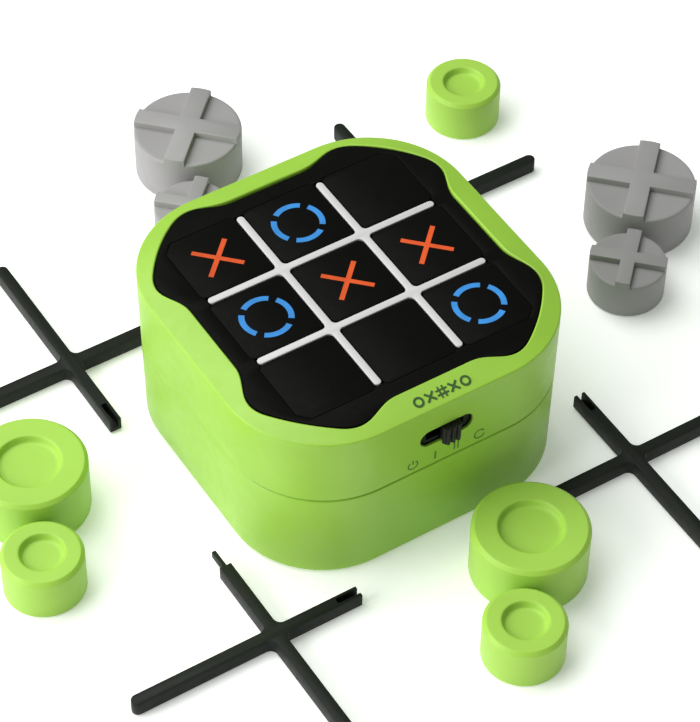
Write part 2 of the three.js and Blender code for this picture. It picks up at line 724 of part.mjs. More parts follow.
const tokens = [
  ['token_x_large_back', crossToken(largeToken), greyPlastic, 10.9, 94],
  ['token_x_small_back', crossToken(smallToken), greyPlastic, -0.9, 71.4],
  ['token_x_large_right', crossToken(largeToken), greyPlastic, 98.8, 17.1],
  ['token_x_small_right', crossToken(smallToken), greyPlastic, 81.9, -1.2],
  ['token_o_small_back', ringToken(smallToken), greenPlastic, 82, 73],
  ['token_o_large_front', ringToken(largeToken), greenPlastic, 11.2, -61.4],
  ['token_o_small_front', ringToken(smallToken), greenPlastic, -3.6, -81],
  ['token_o_large_left', ringToken(largeToken), greenPlastic, -77, 15.4],
  ['token_o_small_left', ringToken(smallToken), greenPlastic, -86, -7.6],
];
for (const [name, solid, material, x, y] of tokens) {
  place(name, solid, material).position.set(x, y, 0);
}

const crosses = [
  ['cross_front_left', -49.6, -49.4],
  ['cross_front_right', 49.6, -49],
  ['cross_back_right', 49.6, 46.6],
  ['cross_back_left', -49.6, 46.6],
];
crosses.forEach(([name, x, y], quarter) => {
  const mesh = place(name, gridCross(), darkPlastic);
  mesh.position.set(x, y, 0);
  mesh.rotation.z = (quarter * Math.PI) / 2;
});

export default group;
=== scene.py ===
"""A tabletop tic tac toe set: the looks of the electronic console, its nine tokens and its four crosses."""

import math

import bmesh
import bpy
from mathutils import Matrix, Vector


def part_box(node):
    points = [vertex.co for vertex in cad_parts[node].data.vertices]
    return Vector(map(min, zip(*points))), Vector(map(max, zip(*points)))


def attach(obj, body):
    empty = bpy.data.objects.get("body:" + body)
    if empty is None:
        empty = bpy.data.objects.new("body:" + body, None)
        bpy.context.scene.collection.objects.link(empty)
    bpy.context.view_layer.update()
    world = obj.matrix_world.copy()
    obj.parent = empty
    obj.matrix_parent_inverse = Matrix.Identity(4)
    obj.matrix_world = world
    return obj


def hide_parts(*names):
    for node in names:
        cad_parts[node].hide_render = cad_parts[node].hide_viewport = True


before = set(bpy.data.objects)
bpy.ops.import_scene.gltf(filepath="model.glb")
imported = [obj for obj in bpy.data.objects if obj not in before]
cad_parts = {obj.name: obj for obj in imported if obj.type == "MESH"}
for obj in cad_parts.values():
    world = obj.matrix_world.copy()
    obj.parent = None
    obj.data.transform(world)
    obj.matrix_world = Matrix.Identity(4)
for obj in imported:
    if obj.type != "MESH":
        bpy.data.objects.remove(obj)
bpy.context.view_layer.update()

# ---------------------------------------------------------------- driving dimensions, in metres

MM = 0.001
GAP = 0.3 * MM

CASE_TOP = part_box("top_shell")[1][2]
CASE_HALF_TOP = 42.4 * MM
CASE_HALF_BASE = 41.4 * MM
CASE_CORNER_TOP = 25.2 * MM
CASE_CORNER_BASE = 23.4 * MM
CASE_TOP_EDGE = 0.5 * MM
BAND_WIDTH = 6.2 * MM
BAND_DROP = 1.9 * MM
CASE_BASE_EDGE = 1.2 * MM
CASE_WALL = 2.2 * MM
OPENING_EDGE = 0.5 * MM
PARTING_LOW = 25.85 * MM
PARTING_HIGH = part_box("top_shell")[0][2]
PARTING_BEVEL = 0.25 * MM
LIP_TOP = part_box("bottom_shell")[1][2]
CEILING = 45.3 * MM
SHELL_STEPS = 256

# Heights at which the skins of the two case halves have a ring between their ends.
UPPER_RINGS = (30 * MM, 35 * MM, 40 * MM)
LOWER_RINGS = (8 * MM, 14 * MM, 20 * MM)

SCREW_REACH = 31.4 * MM
SCREW_PLACES = [(sx * SCREW_REACH, sy * SCREW_REACH) for sx, sy in ((1, 1), (-1, 1), (-1, -1), (1, -1))]
SCREW_SEAT = 20 * MM
SCREW_HOLE = 1.4 * MM
SCREW_HEAD_HOLE = 2.6 * MM
BOSS_RADIUS = 3.2 * MM
BOSS_TOP = 42.8 * MM
COLUMN_RADIUS = 3.3 * MM
SOUND_HOLE = 0.9 * MM
SOUND_CIRCLE = 4 * MM

PANEL_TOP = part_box("panel")[1][2]
PANEL_LOW = 45 * MM
LOBE_RADIUS = 44.4 * MM
LOBE_ANGLE = math.radians(34)

GRID_PITCH = 21.76 * MM
LINE_WIDTH = 1.85 * MM
LINE_HALF_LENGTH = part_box("grid_insert")[1][0]
LINE_FLARE = 1.2 * MM
KEY_HALF = 9.68 * MM
KEY_CORNER = 1.6 * MM
KEY_CLIP = 42.6 * MM
KEY_GAP = 0.14 * MM
KEY_LOW = 43.9 * MM
PRINT_PLACE = 39.5 * MM
PRINT_PITCH = 3.1 * MM

SLOT_HALF_LENGTH = 7.05 * MM
SLOT_HALF_HEIGHT = 2.45 * MM
SLOT_HEIGHT = 35.85 * MM
SLOT_WALL = 0.9 * MM
KNOB_SLOPE = 0.4 * MM
KNOB_HEIGHT = 4.3 * MM
ICON_HEIGHT = 29 * MM
ICON_PLACES = (-8.8 * MM, -2.8 * MM, 2.9 * MM, 9.2 * MM)

DOOR_HALF_X = 26.2 * MM
DOOR_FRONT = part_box("battery_door")[0][1]
DOOR_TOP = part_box("battery_door")[1][2]
DOOR_BACK = 11.4 * MM
HINGE_PIN = 0.45 * MM

STICK_WIDTH = 3 * MM
STICK_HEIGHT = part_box("cross_front_left")[1][2]
STICK_OUTER = 37.1 * MM
STICK_INNER = 22.2 * MM
STICK_FLARE = 1.8 * MM
TAB_LENGTH = 5.4 * MM
TAB_WIDTH = 1.1 * MM
FORK_SLOT = 1.5 * MM
FORK_FLOOR = 1.1 * MM
TAB_LOW = 1.4 * MM
TAB_HIGH = 3.4 * MM

X_RISE = 1.7 * MM
X_ARM_SHARE = 0.19
O_RECESS_SHARE = 0.57

# A token's hollow underneath: its radius and depth.
LARGE_HOLLOW = (10.9 * MM, 12.1 * MM)
SMALL_HOLLOW = (7.7 * MM, 8.6 * MM)

GRAIN_DEPTH = 0.006 * MM

# The game on the board, from the back row to the front one.
BOARD = ["XO.", "OXX", "..O"]
CELLS = [(column, row) for row in (1, 0, -1) for column in (-1, 0, 1)]


# ---------------------------------------------------------------- materials

def linear(red, green, blue):
    """An sRGB colour, 0 to 255, as linear RGBA."""
    def channel(value):
        value /= 255
        return value / 12.92 if value <= 0.04045 else ((value + 0.055) / 1.055) ** 2.4
    return (channel(red), channel(green), channel(blue), 1.0)


def shaded(colour, factor):
    """The colour, lighter or darker by a factor."""
    return tuple(min(1.0, value * factor) for value in colour[:3]) + (1.0,)


class Nodes:
    """A material's node tree, with short calls for the nodes used here."""

    def __init__(self, name):
        self.material = bpy.data.materials.new(name)
        self.material.use_nodes = True
        self.tree = self.material.node_tree
        self.shader = self.tree.nodes["Principled BSDF"]
        self.place = self.add("ShaderNodeTexCoord").outputs["Object"]

    def add(self, kind, **settings):
        node = self.tree.nodes.new(kind)
        for key, value in settings.items():
            setattr(node, key, value)
        return node

    def link(self, source, target):
        self.tree.links.new(source, target)

    def noise(self, scale, detail=2.0):
        node = self.add("ShaderNodeTexNoise")
        node.inputs["Scale"].default_value = scale
        node.inputs["Detail"].default_value = detail
        self.link(self.place, node.inputs["Vector"])
        return node.outputs["Fac"]

    def spread(self, source, low, high, start=0.3, end=0.7):
        node = self.add("ShaderNodeMapRange")
        node.inputs["From Min"].default_value = start
        node.inputs["From Max"].default_value = end
        node.inputs["To Min"].default_value = low
        node.inputs["To Max"].default_value = high
        self.link(source, node.inputs["Value"])
        return node.outputs["Result"]

    def mix(self, factor, first, second):
        node = self.add("ShaderNodeMix", data_type="RGBA")
        for socket, value in ((node.inputs[0], factor), (node.inputs[6], first), (node.inputs[7], second)):
            if isinstance(value, bpy.types.NodeSocket):
                self.link(value, socket)
            else:
                socket.default_value = value
        return node.outputs[2]

    def bump(self, *layers):
        """Height layers of (source, depth in metres), stacked."""
        normal = None
        for source, depth in layers:
            node = self.add("ShaderNodeBump")
            node.inputs["Strength"].default_value = 1.0
            node.inputs["Distance"].default_value = depth
            self.link(source, node.inputs["Height"])
            if normal:
                self.link(normal, node.inputs["Normal"])
            normal = node.outputs["Normal"]
        self.link(normal, self.shader.inputs["Normal"])


def moulded(name, colour, roughness, wear=0.25, soft=0.0, gloss_level=0.5):
    """Moulded plastic: fine spark-eroded grain, faint flow mottling, edges rubbed lighter."""
    nodes = Nodes(name)
    mottle = nodes.spread(nodes.noise(55, 3), 0.0, 1.0)
    body = nodes.mix(mottle, shaded(colour, 0.955), shaded(colour, 1.03))
    pointed = nodes.add("ShaderNodeNewGeometry").outputs["Pointiness"]
    blunt, sharp = 0.515, 0.58
    edge = nodes.spread(pointed, 0.0, wear, blunt, sharp)
    rubbed = nodes.mix(edge, body, shaded(colour, 1.6))
    nodes.link(rubbed, nodes.shader.inputs["Base Color"])
    gloss = nodes.spread(nodes.noise(420, 3), roughness - 0.05, roughness + 0.06)
    nodes.link(gloss, nodes.shader.inputs["Roughness"])
    nodes.bump((nodes.noise(7000, 2), GRAIN_DEPTH), (nodes.noise(900, 2), 1.5 * GRAIN_DEPTH))
    if soft:
        nodes.shader.inputs["Subsurface Weight"].default_value = soft
        nodes.shader.inputs["Subsurface Radius"].default_value = (1.0, 1.0, 0.4)
        nodes.shader.inputs["Subsurface Scale"].default_value = 1.2 * MM
    nodes.shader.inputs["Specular IOR Level"].default_value = gloss_level
    return nodes.material


def lit_mark(name, colour, strength):
    """A glowing mark, with a faint unevenness from the lamps below."""
    nodes = Nodes(name)
    uneven = nodes.spread(nodes.noise(260, 2), 0.0, 1.0)
    glow = nodes.mix(uneven, shaded(colour, 0.86), shaded(colour, 1.08))
    nodes.link(glow, nodes.shader.inputs["Emission Color"])
    body = nodes.mix(uneven, shaded(colour, 0.05), shaded(colour, 0.09))
    nodes.link(body, nodes.shader.inputs["Base Color"])
    nodes.shader.inputs["Specular IOR Level"].default_value = 0.2
    nodes.shader.inputs["Emission Strength"].default_value = strength
    nodes.shader.inputs["Roughness"].default_value = 0.35
    nodes.bump((nodes.noise(5000, 1), 0.004 * MM))
    return nodes.material


def metal(name, colour, roughness):
    """Plated steel with fine brushing and a few dull patches."""
    nodes = Nodes(name)
    patches = nodes.spread(nodes.noise(180, 4), 0.0, 1.0)
    nodes.link(nodes.mix(patches, shaded(colour, 0.85), colour), nodes.shader.inputs["Base Color"])
    gloss = nodes.spread(nodes.noise(900, 3), roughness, roughness + 0.15)
    nodes.link(gloss, nodes.shader.inputs["Roughness"])
    nodes.shader.inputs["Metallic"].default_value = 1.0
    nodes.bump((nodes.noise(6000, 2), 0.004 * MM))
    return nodes.material


def circuit_board():
    """Solder mask with straight copper tracks showing through."""
    nodes = Nodes("circuit_board")
    tracks = nodes.add("ShaderNodeTexBrick")
    tracks.inputs["Scale"].default_value = 420.0
    tracks.inputs["Mortar Size"].default_value = 0.035
    tracks.inputs["Color1"].default_value = linear(22, 82, 44)
    tracks.inputs["Color2"].default_value = linear(26, 92, 50)
    tracks.inputs["Mortar"].default_value = linear(60, 130, 70)
    nodes.link(nodes.place, tracks.inputs["Vector"])
    mottle = nodes.spread(nodes.noise(90, 2), 0.0, 0.35)
    shade = nodes.mix(mottle, tracks.outputs["Color"], linear(14, 60, 32))
    nodes.link(shade, nodes.shader.inputs["Base Color"])
    nodes.link(nodes.spread(nodes.noise(500, 2), 0.28, 0.45), nodes.shader.inputs["Roughness"])
    nodes.bump((tracks.outputs["Fac"], 0.02 * MM))
    return nodes.material


def clear_guide():
    """Clear acrylic with a frosted surface."""
    nodes = Nodes("clear_guide")
    nodes.shader.inputs["Transmission Weight"].default_value = 0.85
    nodes.shader.inputs["IOR"].default_value = 1.49
    frost = nodes.noise(1500, 2)
    nodes.link(nodes.spread(frost, 0.12, 0.3), nodes.shader.inputs["Roughness"])
    cloud = nodes.spread(nodes.noise(200), 0.0, 1.0)
    tone = nodes.mix(cloud, linear(222, 230, 236), linear(238, 242, 245))
    nodes.link(tone, nodes.shader.inputs["Base Color"])
    nodes.bump((frost, 0.004 * MM))
    return nodes.material


def cell_sleeve():
    """A battery's plastic sleeve with a lighter band round it, and bare metal at the ends."""
    nodes = Nodes("cell_sleeve")
    along = nodes.add("ShaderNodeSeparateXYZ")
    nodes.link(nodes.place, along.inputs["Vector"])
    distance = nodes.add("ShaderNodeMath", operation="ABSOLUTE")
    nodes.link(along.outputs["X"], distance.inputs[0])
    band = nodes.spread(distance.outputs[0], 0.0, 1.0, 13 * MM, 13.2 * MM)
    end = nodes.spread(distance.outputs[0], 0.0, 1.0, 20.7 * MM, 20.8 * MM)
    scuffs = nodes.spread(nodes.noise(300, 5), 0.0, 0.3)
    sleeve = nodes.mix(band, linear(44, 58, 82), linear(196, 160, 84))
    worn = nodes.mix(scuffs, sleeve, linear(120, 126, 134))
    nodes.link(nodes.mix(end, worn, linear(205, 206, 208)), nodes.shader.inputs["Base Color"])
    nodes.link(end, nodes.shader.inputs["Metallic"])
    nodes.link(nodes.spread(nodes.noise(700, 2), 0.25, 0.42), nodes.shader.inputs["Roughness"])
    nodes.bump((nodes.noise(2500, 2), 0.01 * MM))
    return nodes.material


green = moulded("green_moulded", linear(146, 191, 58), 0.42, wear=0.0, soft=0.05)
token_green = moulded("token_green", linear(158, 200, 76), 0.46, wear=0.0, soft=0.06, gloss_level=0.35)
token_grey = moulded("token_grey", linear(150, 147, 149), 0.5, wear=0.0, gloss_level=0.35)
panel_black = moulded("panel_black", linear(13, 13, 12), 0.4, wear=0.0, gloss_level=0.03)
smoked = moulded("smoked_cap", linear(13, 13, 12), 0.4, wear=0.0, gloss_level=0.03)
knob_black = moulded("knob_black", linear(22, 22, 22), 0.42, wear=0.1, gloss_level=0.2)
stick_black = moulded("stick_black", linear(28, 31, 27), 0.46, wear=0.15, gloss_level=0.12)
dark_plastic = moulded("dark_plastic", linear(38, 39, 40), 0.55)
white = moulded("white_moulded", linear(200, 197, 200), 0.5, wear=0.0, gloss_level=0.3)
print_dark = moulded("print_dark", linear(48, 84, 28), 0.5, wear=0.0)
print_icon = moulded("print_icon", linear(66, 112, 30), 0.5, wear=0.0)
orange = lit_mark("mark_orange", linear(226, 90, 40), 0.95)
blue = lit_mark("mark_blue", linear(62, 146, 222), 0.95)
steel = metal("plated_steel", linear(196, 198, 202), 0.28)
board_green = circuit_board()
guide_clear = clear_guide()
sleeve = cell_sleeve()


# ---------------------------------------------------------------- mesh helpers

def piece(name, mesh, material, body, nodes=(), smooth=32):
    """Shows a mesh as a piece that rides on a body, in place of CAD nodes."""
    shown = bpy.data.objects.new(name, mesh)
    bpy.context.scene.collection.objects.link(shown)
    mesh.materials.clear()
    mesh.materials.append(material)
    mesh.shade_smooth()
    mesh.set_sharp_from_angle(angle=math.radians(smooth))
    if nodes:
        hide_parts(*nodes)
    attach(shown, body)
    return shown


def evaluated(shown):
    """The object's mesh with its modifiers applied; the object is removed."""
    bpy.context.view_layer.update()
    mesh = bpy.data.meshes.new_from_object(shown.evaluated_get(bpy.context.evaluated_depsgraph_get()))
    data = shown.data
    bpy.data.objects.remove(shown)
    if data.users == 0:
        (bpy.data.curves if isinstance(data, bpy.types.Curve) else bpy.data.meshes).remove(data)
    return mesh


def holder(mesh):
    """A working object that holds a mesh or a curve while modifiers act on it."""
    shown = bpy.data.objects.new("work", mesh)
    bpy.context.scene.collection.objects.link(shown)
    return shown


def combine(mesh, others, operation):
    """Mesh joined with, or cut by, each of the others."""
    work = holder(mesh)
    tools = [holder(other) for other in others]
    for tool in tools:
        step = work.modifiers.new("step", "BOOLEAN")
        step.operation = operation
        step.solver = "EXACT"
        step.object = tool
    result = evaluated(work)
    for tool in tools:
        data = tool.data
        bpy.data.objects.remove(tool)
        bpy.data.meshes.remove(data)
    return result


def bevelled(mesh, width):
    """The mesh with its sharp edges rounded."""
    work = holder(mesh)
    step = work.modifiers.new("step", "BEVEL")
    step.width = width
    step.segments = 2
    step.limit_method = "ANGLE"
    step.angle_limit = math.radians(40)
    step.use_clamp_overlap = True
    return evaluated(work)


def from_rings(rings, loop=False):
    """A skin over rings of equally many points: closed at both ends, or a loop from the last to the first."""
    mesh = bpy.data.meshes.new("rings")
    build = bmesh.new()
    rows = [[build.verts.new(point) for point in ring] for ring in rings]
    pairs = list(zip(rows, rows[1:]))
    if loop:
        pairs.append((rows[-1], rows[0]))
    for low, high in pairs:
        for index in range(len(low)):
            after = (index + 1) % len(low)
            build.faces.new((low[index], low[after], high[after], high[index]))
    if not loop:
        build.faces.new(rows[0][::-1])
        build.faces.new(rows[-1])
    bmesh.ops.recalc_face_normals(build, faces=build.faces)
    build.to_mesh(mesh)
    build.free()
    return mesh


def turned(profile, steps=96):
    """A profile of (radius, height) points turned about Z; the ends may lie on the axis."""
    mesh = bpy.data.meshes.new("turned")
    build = bmesh.new()
    rows = []
    for radius, height in profile:
        if radius < 1e-7:
            rows.append([build.verts.new((0, 0, height))] * steps)
            continue
        angles = [2 * math.pi * step / steps for step in range(steps)]
        rows.append([build.verts.new((radius * math.cos(a), radius * math.sin(a), height)) for a in angles])
    for low, high in zip(rows, rows[1:]):
        for index in range(steps):
            after = (index + 1) % steps
            corners = [low[index], low[after], high[after], high[index]]
            unique = list(dict.fromkeys(corners))
            if len(unique) > 2:
                build.faces.new(unique)
    bmesh.ops.recalc_face_normals(build, faces=build.faces)
    build.to_mesh(mesh)
    build.free()
    return mesh


def slab(outlines, low, high, bevel=0.0, segments=2):
    """A flat piece between two heights, with closed outlines, holes included, and rounded edges."""
    curve = bpy.data.curves.new("slab", "CURVE")
    curve.dimensions = "2D"
    curve.fill_mode = "BOTH"
    curve.extrude = (high - low) / 2 - bevel
    curve.bevel_depth = bevel
    curve.bevel_resolution = segments - 1
    curve.offset = -bevel
    for outline in outlines:
        spline = curve.splines.new("POLY")
        spline.points.add(len(outline) - 1)
        for point, (x, y) in zip(spline.points, outline):
            point.co = (x, y, 0, 1)
        spline.use_cyclic_u = True
    mesh = evaluated(holder(curve))
    build = bmesh.new()
    build.from_mesh(mesh)
    bmesh.ops.remove_doubles(build, verts=build.verts, dist=1e-7)
    bmesh.ops.recalc_face_normals(build, faces=build.faces)
    build.to_mesh(mesh)
    build.free()
    mesh.transform(Matrix.Translation((0, 0, (low + high) / 2)))
    return mesh


def together(meshes):
    """Several meshes as one, left as separate shells."""
    build = bmesh.new()
    for mesh in meshes:
        build.from_mesh(mesh)
        bpy.data.meshes.remove(mesh)
    whole = bpy.data.meshes.new("together")
    build.to_mesh(whole)
    build.free()
    return whole


def block(low, high):
    """A box between two opposite corners."""
    middle = [(a + b) / 2 for a, b in zip(low, high)]
    size = [b - a for a, b in zip(low, high)]
    build = bmesh.new()
    place = Matrix.Translation(middle) @ Matrix.Diagonal((*size, 1))
    bmesh.ops.create_cube(build, size=1.0, matrix=place)
    mesh = bpy.data.meshes.new("block")
    build.to_mesh(mesh)
    build.free()
    return mesh


def arc(x, y, radius, start, end, steps):
    """Points from start to end, in degrees, both included."""
    points = []
    for step in range(steps + 1):
        angle = math.radians(start + (end - start) * step / steps)
        points.append((x + radius * math.cos(angle), y + radius * math.sin(angle)))
    return points


def stadium(half_length, half_height):
    """A bar with round ends, centred on the origin."""
    reach = half_length - half_height
    return arc(reach, 0, half_height, -90, 90, 16) + arc(-reach, 0, half_height, 90, 270, 16)


def rectangle(x0, x1, y0, y1, corner):
    """A rectangle with round corners."""
    left, right, front, back = x0 + corner, x1 - corner, y0 + corner, y1 - corner
    outline = []
    for turn, (x, y) in enumerate(((right, front), (right, back), (left, back), (left, front))):
        outline += arc(x, y, corner, 90 * turn - 90, 90 * turn, 6)
    return outline


def quarter_turns(points):
    """The points, then their copies turned by 90, 180 and 270 degrees."""
    whole = []
    for turn in range(4):
        c = round(math.cos(turn * math.pi / 2))
        s = round(math.sin(turn * math.pi / 2))
        whole += [(c * x - s * y, s * x + c * y) for x, y in points]
    return whole


# ---------------------------------------------------------------- outlines

def square_radius(angle, half, corner):
    """Distance from the centre of a rounded square to its edge, in the direction of an angle."""
    fold = abs((angle + math.pi / 4) % (math.pi / 2) - math.pi / 4)
    if half * math.tan(fold) <= half - corner:
        return half / math.cos(fold)
    centre = half - corner
    along = centre * (math.cos(fold) + math.sin(fold))
    return along + math.sqrt(corner ** 2 - 2 * centre ** 2 + along ** 2)


def bezier(a, b, c, d, steps):
    """Points along a cubic curve, without its last one."""
    points = []
    for step in range(steps):
        t = step / steps
        weights = ((1 - t) ** 3, 3 * t * (1 - t) ** 2, 3 * t * t * (1 - t), t ** 3)
        points.append(tuple(sum(w * p[k] for w, p in zip(weights, (a, b, c, d))) for k in (0, 1)))
    return points


def panel_outline():
    """The black panel's edge: flat sides that swell into four lobes."""
    flat_x, flat_y = 35.5 * MM, 9.7 * MM
    ease, pull_x, pull_y = 12.9 * MM, 37.35 * MM, 15.53 * MM
    shoulder = (38.07 * MM, 18.03 * MM)
    corner = Vector((39.05 * MM, 21.45 * MM))
    lobe = (LOBE_RADIUS * math.cos(LOBE_ANGLE), LOBE_RADIUS * math.sin(LOBE_ANGLE))
    leaving = Vector(shoulder).lerp(corner, 2 / 3)
    arriving = Vector(lobe).lerp(corner, 2 / 3)
    side = bezier((flat_x, flat_y), (flat_x, ease), (pull_x, pull_y), shoulder, 12)
    side += bezier(shoulder, leaving, arriving, lobe, 8)
    degrees = math.degrees(LOBE_ANGLE)
    middle = arc(0, 0, LOBE_RADIUS, degrees, 90 - degrees, 24)
    mirrored = [(y, x) for x, y in reversed(side)]
    return quarter_turns(side + middle + mirrored)


def panel_radius_table():
    outline = sorted((math.atan2(y, x) % (2 * math.pi), math.hypot(x, y)) for x, y in panel_outline())
    first, last = outline[0], outline[-1]
    return [(last[0] - 2 * math.pi, last[1])] + outline + [(first[0] + 2 * math.pi, first[1])]


PANEL_EDGE = panel_radius_table()


def panel_radius(angle):
    """Distance from the console's axis to the panel's edge, in the direction of an angle."""
    angle %= 2 * math.pi
    for (a, ra), (b, rb) in zip(PANEL_EDGE, PANEL_EDGE[1:]):
        if a <= angle <= b:
            x0, y0 = ra * math.cos(a), ra * math.sin(a)
            x1, y1 = rb * math.cos(b), rb * math.sin(b)
            across = (x1 - x0) * math.sin(angle) - (y1 - y0) * math.cos(angle)
            return (y0 * (x1 - x0) - x0 * (y1 - y0)) / across if abs(across) > 1e-12 else ra
    return LOBE_RADIUS


def case_ring(height, inset=0.0):
    """The drafted case wall at a height, or a line inside it."""
    share = height / CASE_TOP
    half = CASE_HALF_BASE + (CASE_HALF_TOP - CASE_HALF_BASE) * share - inset
    corner = CASE_CORNER_BASE + (CASE_CORNER_TOP - CASE_CORNER_BASE) * share - inset
    ring = []
    for step in range(SHELL_STEPS):
        angle = 2 * math.pi * step / SHELL_STEPS
        radius = square_radius(angle, half, corner)
        ring.append((radius * math.cos(angle), radius * math.sin(angle), height))
    return ring


def band_height(angle, radius):
    """Height of the rim's sloping top, which rises from the wall to the panel."""
    fold = abs((angle + math.pi / 4) % (math.pi / 2) - math.pi / 4)
    x, y = radius * math.cos(fold), radius * math.sin(fold)
    straight = CASE_HALF_TOP - CASE_CORNER_TOP
    inset = CASE_HALF_TOP - x
    if y > straight:
        inset = CASE_CORNER_TOP - math.hypot(x - straight, y - straight)
    return CASE_TOP - BAND_DROP * (1 - min(1.0, inset / BAND_WIDTH))


def opening_ring(grow, drop=0.0, height=None):
    """The panel's opening, at one height or following the rim's slope."""
    ring = []
    for step in range(SHELL_STEPS):
        angle = 2 * math.pi * step / SHELL_STEPS
        radius = panel_radius(angle) + grow
        level = band_height(angle, radius) - drop if height is None else height
        ring.append((radius * math.cos(angle), radius * math.sin(angle), level))
    return ring


def rounding(radius, steps):
    """(inset, drop) pairs from a vertical wall round to a flat top."""
    pairs = []
    for step in range(steps + 1):
        angle = math.pi / 2 * step / steps
        pairs.append((radius * (1 - math.cos(angle)), radius * (1 - math.sin(angle))))
    return pairs


def key_outline(column, row, half, corner, clip):
    """A key's edge: a square with round corners; the four outer keys end on a circle."""
    x, y = column * GRID_PITCH, row * GRID_PITCH
    reach = half - corner
    outline = []
    for k, (sx, sy) in enumerate(((1, 1), (-1, 1), (-1, -1), (1, -1))):
        if column == sx and row == sy:
            edge_x, edge_y = abs(x) + half, math.sqrt(clip ** 2 - (abs(x) + half) ** 2)
            start = math.degrees(math.atan2(edge_y, edge_x))
            points = arc(0, 0, clip, start, 90 - start, 8)
            outline += quarter_turns(points)[k * len(points):(k + 1) * len(points)]
        else:
            outline += arc(x + sx * reach, y + sy * reach, corner, 90 * k, 90 * k + 90, 6)
    return outline


# ---------------------------------------------------------------- console

def switch_window():
    """The cutters for the switch's window, with a softened mouth, and for the plate's seat behind it."""
    rings = []
    for depth, grow in ((-1.0, 1.35), (0.1, 0.25), (0.4, 0.0), (4.0, 0.0)):
        outline = stadium(SLOT_HALF_LENGTH + grow * MM, SLOT_HALF_HEIGHT + grow * MM)
        rings.append([(x, -CASE_HALF_TOP + depth * MM, SLOT_HEIGHT + z) for x, z in outline])
    low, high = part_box("switch_plate")
    seat_front = -CASE_HALF_TOP + SLOT_WALL
    seat_back = -CASE_HALF_TOP + CASE_WALL + 1 * MM
    seat = block((low[0] - GAP, seat_front, low[2] - GAP), (high[0] + GAP, seat_back, high[2] + GAP))
    return [from_rings(rings), seat]


def boss(x, y):
    """A screw boss: a tube standing free beside the wall."""
    low, high = LIP_TOP + GAP, BOSS_TOP
    inside = (SCREW_HOLE, low)
    tube = turned([inside, (BOSS_RADIUS, low), (BOSS_RADIUS, high), (SCREW_HOLE, high), inside], 40)
    tube.transform(Matrix.Translation((x, y, 0)))
    return tube


def top_shell():
    """The upper case half, skinned from the parting line over the rim and back down inside the wall."""
    half_wall = CASE_WALL / 2 - GAP / 2
    rings = [case_ring(PARTING_HIGH, PARTING_BEVEL), case_ring(PARTING_HIGH + PARTING_BEVEL)]
    rings += [case_ring(height) for height in UPPER_RINGS]
    rings += [case_ring(CASE_TOP - BAND_DROP - drop, inset) for inset, drop in rounding(CASE_TOP_EDGE, 6)]
    rings += [opening_ring(GAP + inset, drop) for inset, drop in reversed(rounding(OPENING_EDGE, 5))]
    rings += [opening_ring(GAP, height=CEILING), case_ring(CEILING, CASE_WALL)]
    rings += [case_ring(LIP_TOP + GAP, CASE_WALL), case_ring(LIP_TOP + GAP, half_wall)]
    rings.append(case_ring(PARTING_HIGH, half_wall))
    shell = combine(from_rings(rings, loop=True), switch_window(), "DIFFERENCE")
    whole = together([shell, *(boss(x, y) for x, y in SCREW_PLACES)])
    piece("visual_top_shell", whole, green, "console", ["top_shell"], 28)


def post(x, y, radius, low, high, steps=40):
    """A round bar along Z."""
    mesh = turned([(0, low), (radius, low), (radius, high), (0, high)], steps)
    mesh.transform(Matrix.Translation((x, y, 0)))
    return mesh


def lying_post(x0, x1, y, z, radius):
    """A round bar along X."""
    mesh = turned([(0, x0), (radius, x0), (radius, x1), (0, x1)], 32)
    mesh.transform(Matrix.Translation((0, y, z)) @ Matrix.Rotation(math.pi / 2, 4, "Y"))
    return mesh


def battery_bay(screw_y):
    """What is added round the battery bay, and what is cut out of it, in the lower shell."""
    half_x, front, back, roof, wall = 24.8 * MM, -24.4 * MM, 9.4 * MM, 13.3 * MM, 1.6 * MM
    ledge_x, ledge_front, ledge_back = half_x + 3.3 * MM, DOOR_FRONT - 2.3 * MM, screw_y + 4.6 * MM
    added = [
        block((-ledge_x, ledge_front, 0.2 * MM), (ledge_x, ledge_back, 4 * MM)),
        block((-half_x - wall, front - wall, 1 * MM), (half_x + wall, back + wall, roof + wall)),
        post(0, screw_y, 3 * MM, 3 * MM, 9.5 * MM),
    ]
    side, seat_front, seat_top = DOOR_HALF_X + GAP, DOOR_FRONT - GAP, DOOR_TOP + GAP
    hinge = DOOR_TOP / 2
    socket = DOOR_HALF_X + 1 * MM + GAP
    cuts = [
        slab([rectangle(-side, side, seat_front, DOOR_BACK + GAP, 2 * MM)], -1 * MM, seat_top),
        block((-side, seat_front, -1.1 * MM), (side, seat_front + 3.3 * MM, seat_top)),
        post(0, screw_y, 3.7 * MM, -1 * MM, seat_top),
        lying_post(-socket, socket, DOOR_FRONT + hinge, hinge, HINGE_PIN + GAP),
        block((-half_x, front, -2 * MM), (half_x, back, roof)),
        post(0, screw_y, 1.7 * MM, 0, 8.5 * MM),
    ]
    return added, cuts


